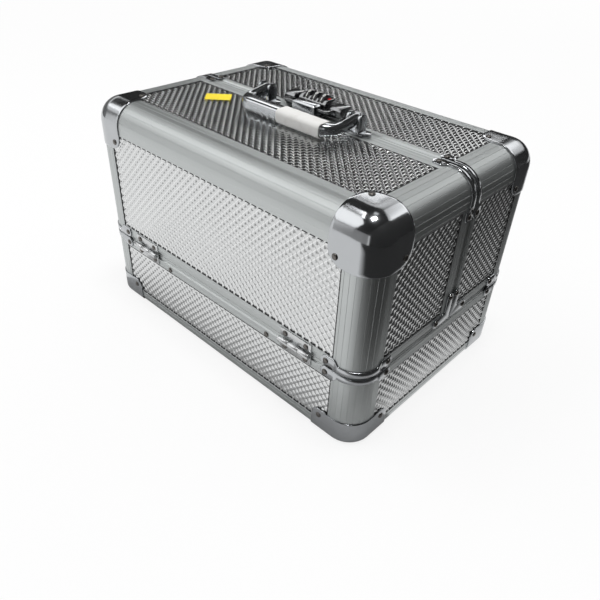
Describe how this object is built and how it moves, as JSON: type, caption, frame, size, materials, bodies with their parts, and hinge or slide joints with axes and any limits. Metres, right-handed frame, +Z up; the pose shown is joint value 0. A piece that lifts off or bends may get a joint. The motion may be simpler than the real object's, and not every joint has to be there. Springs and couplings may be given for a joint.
{
  "type": "makeup train case",
  "caption": "Embossed hard-shell train case with rounded metal edges: split lids hinge outward and lift cantilever trays; folding top handle, number-dial lock.",
  "frame": {"origin": "middle of the case's footprint, on the surface it stands on", "axes": "+X along the long front, -Y towards the front, +Z up"},
  "size_m": [0.322, 0.2268, 0.2165],
  "materials": {
    "embossed_panel": "silver sheet with a fine raised diamond lattice on a board core",
    "satin_aluminium": "satin extrusion with fine lengthwise grooves",
    "bright_chrome": "bright plated",
    "steel": "zinc plated",
    "lining": "short black nap",
    "tray_plastic": "fine moulded grain",
    "white_sleeve": "plain soft wrap",
    "dial_black": "black with white numbers",
    "red_mark": "red enamel"
  },
  "bodies": {
    "base": {"base_bottom_panel": "embossed_panel", "base_bottom_trims": "satin_aluminium", "base_corner_caps": "bright_chrome", "base_corner_clamps": "bright_chrome", "base_corner_profiles": "satin_aluminium", "base_hinge_leaves": "bright_chrome", "base_lining": "lining", "base_link_feet": "steel", "base_rim_channels": "satin_aluminium", "base_wall_panels": "embossed_panel", "hinge_pins": "steel"},
    "front_lid": {"front_ball_corners": "bright_chrome", "front_corner_profiles": "satin_aluminium", "front_end_panels": "embossed_panel", "front_hinge_leaves": "bright_chrome", "front_lining": "lining", "front_long_panel": "embossed_panel", "front_rim_brackets": "bright_chrome", "front_rim_channels": "satin_aluminium", "front_split_clips": "bright_chrome", "front_split_strips": "satin_aluminium", "front_top_panel": "embossed_panel", "front_top_profiles": "satin_aluminium", "front_tray_pivots": "steel", "handle_brackets": "bright_chrome", "handle_pins": "steel", "lock_strike": "bright_chrome"},
    "rear_lid": {"rear_ball_corners": "bright_chrome", "rear_corner_profiles": "satin_aluminium", "rear_end_panels": "embossed_panel", "rear_hinge_leaves": "bright_chrome", "rear_lining": "lining", "rear_long_panel": "embossed_panel", "rear_rim_brackets": "bright_chrome", "rear_rim_channels": "satin_aluminium", "rear_split_clips": "bright_chrome", "rear_split_strips": "satin_aluminium", "rear_top_panel": "embossed_panel", "rear_top_profiles": "satin_aluminium", "rear_tray_pivots": "steel", "lock_plate": "bright_chrome", "lock_housing": "bright_chrome", "lock_mark": "red_mark", "lock_dial_axle": "steel"},
    "handle": {"handle_bail": "bright_chrome", "handle_sleeve": "white_sleeve"},
    "dial_left": {"lock_dial_1": "dial_black"},
    "dial_middle": {"lock_dial_2": "dial_black"},
    "dial_right": {"lock_dial_3": "dial_black"},
    "slide_left": {"lock_slide_left": "bright_chrome"},
    "slide_right": {"lock_slide_right": "bright_chrome"},
    "front_lower_tray": {"front_lower_tray": "tray_plastic"},
    "front_upper_tray": {"front_upper_tray": "tray_plastic"},
    "front_links": {"front_tray_links": "steel"},
    "rear_lower_tray": {"rear_lower_tray": "tray_plastic"},
    "rear_upper_tray": {"rear_upper_tray": "tray_plastic"},
    "rear_links": {"rear_tray_links": "steel"}
  },
  "joints": [
    {"name": "front_lid_hinge", "type": "hinge", "parent": "base", "child": "front_lid", "pos_m": [0, -0.111, 0.071], "axis": [1, 0, 0], "range_deg": [0, 92]},
    {"name": "front_lower_tray_swing", "type": "hinge", "parent": "front_lid", "child": "front_lower_tray", "pos_m": [0, -0.07609, 0.10355], "axis": [1, 0, 0], "range_deg": [-92, 0]},
    {"name": "front_upper_tray_swing", "type": "hinge", "parent": "front_lid", "child": "front_upper_tray", "pos_m": [0, -0.04362, 0.13383], "axis": [1, 0, 0], "range_deg": [-92, 0]},
    {"name": "front_links_swing", "type": "hinge", "parent": "base", "child": "front_links", "pos_m": [0, -0.08492, 0.065], "axis": [1, 0, 0], "range_deg": [0, 92]},
    {"name": "rear_lid_hinge", "type": "hinge", "parent": "base", "child": "rear_lid", "pos_m": [0, 0.111, 0.071], "axis": [-1, 0, 0], "range_deg": [0, 92]},
    {"name": "rear_lower_tray_swing", "type": "hinge", "parent": "rear_lid", "child": "rear_lower_tray", "pos_m": [0, 0.07609, 0.10355], "axis": [-1, 0, 0], "range_deg": [-92, 0]},
    {"name": "rear_upper_tray_swing", "type": "hinge", "parent": "rear_lid", "child": "rear_upper_tray", "pos_m": [0, 0.04362, 0.13383], "axis": [-1, 0, 0], "range_deg": [-92, 0]},
    {"name": "rear_links_swing", "type": "hinge", "parent": "base", "child": "rear_links", "pos_m": [0, 0.08492, 0.065], "axis": [-1, 0, 0], "range_deg": [0, 92]},
    {"name": "handle_lift", "type": "hinge", "parent": "front_lid", "child": "handle", "pos_m": [0, 0.00185, 0.2112], "axis": [-1, 0, 0], "range_deg": [0, 150]},
    {"name": "dial_left_turn", "type": "hinge", "parent": "rear_lid", "child": "dial_left", "pos_m": [-0.0133, 0.01815, 0.2087], "axis": [1, 0, 0], "continuous": true},
    {"name": "dial_middle_turn", "type": "hinge", "parent": "rear_lid", "child": "dial_middle", "pos_m": [-0.005, 0.01815, 0.2087], "axis": [1, 0, 0], "continuous": true},
    {"name": "dial_right_turn", "type": "hinge", "parent": "rear_lid", "child": "dial_right", "pos_m": [0.0033, 0.01815, 0.2087], "axis": [1, 0, 0], "continuous": true},
    {"name": "slide_left_push", "type": "slide", "parent": "rear_lid", "child": "slide_left", "axis": [1, 0, 0], "range_m": [0, 0.005]},
    {"name": "slide_right_push", "type": "slide", "parent": "rear_lid", "child": "slide_right", "axis": [-1, 0, 0], "range_m": [0, 0.005]}
  ],
  "couplings": [
    {"joint": "front_lower_tray_swing", "follows": "front_lid_hinge", "ratio": -1},
    {"joint": "front_upper_tray_swing", "follows": "front_lid_hinge", "ratio": -1},
    {"joint": "front_links_swing", "follows": "front_lid_hinge", "ratio": 1},
    {"joint": "rear_lower_tray_swing", "follows": "rear_lid_hinge", "ratio": -1},
    {"joint": "rear_upper_tray_swing", "follows": "rear_lid_hinge", "ratio": -1},
    {"joint": "rear_links_swing", "follows": "rear_lid_hinge", "ratio": 1}
  ]
}
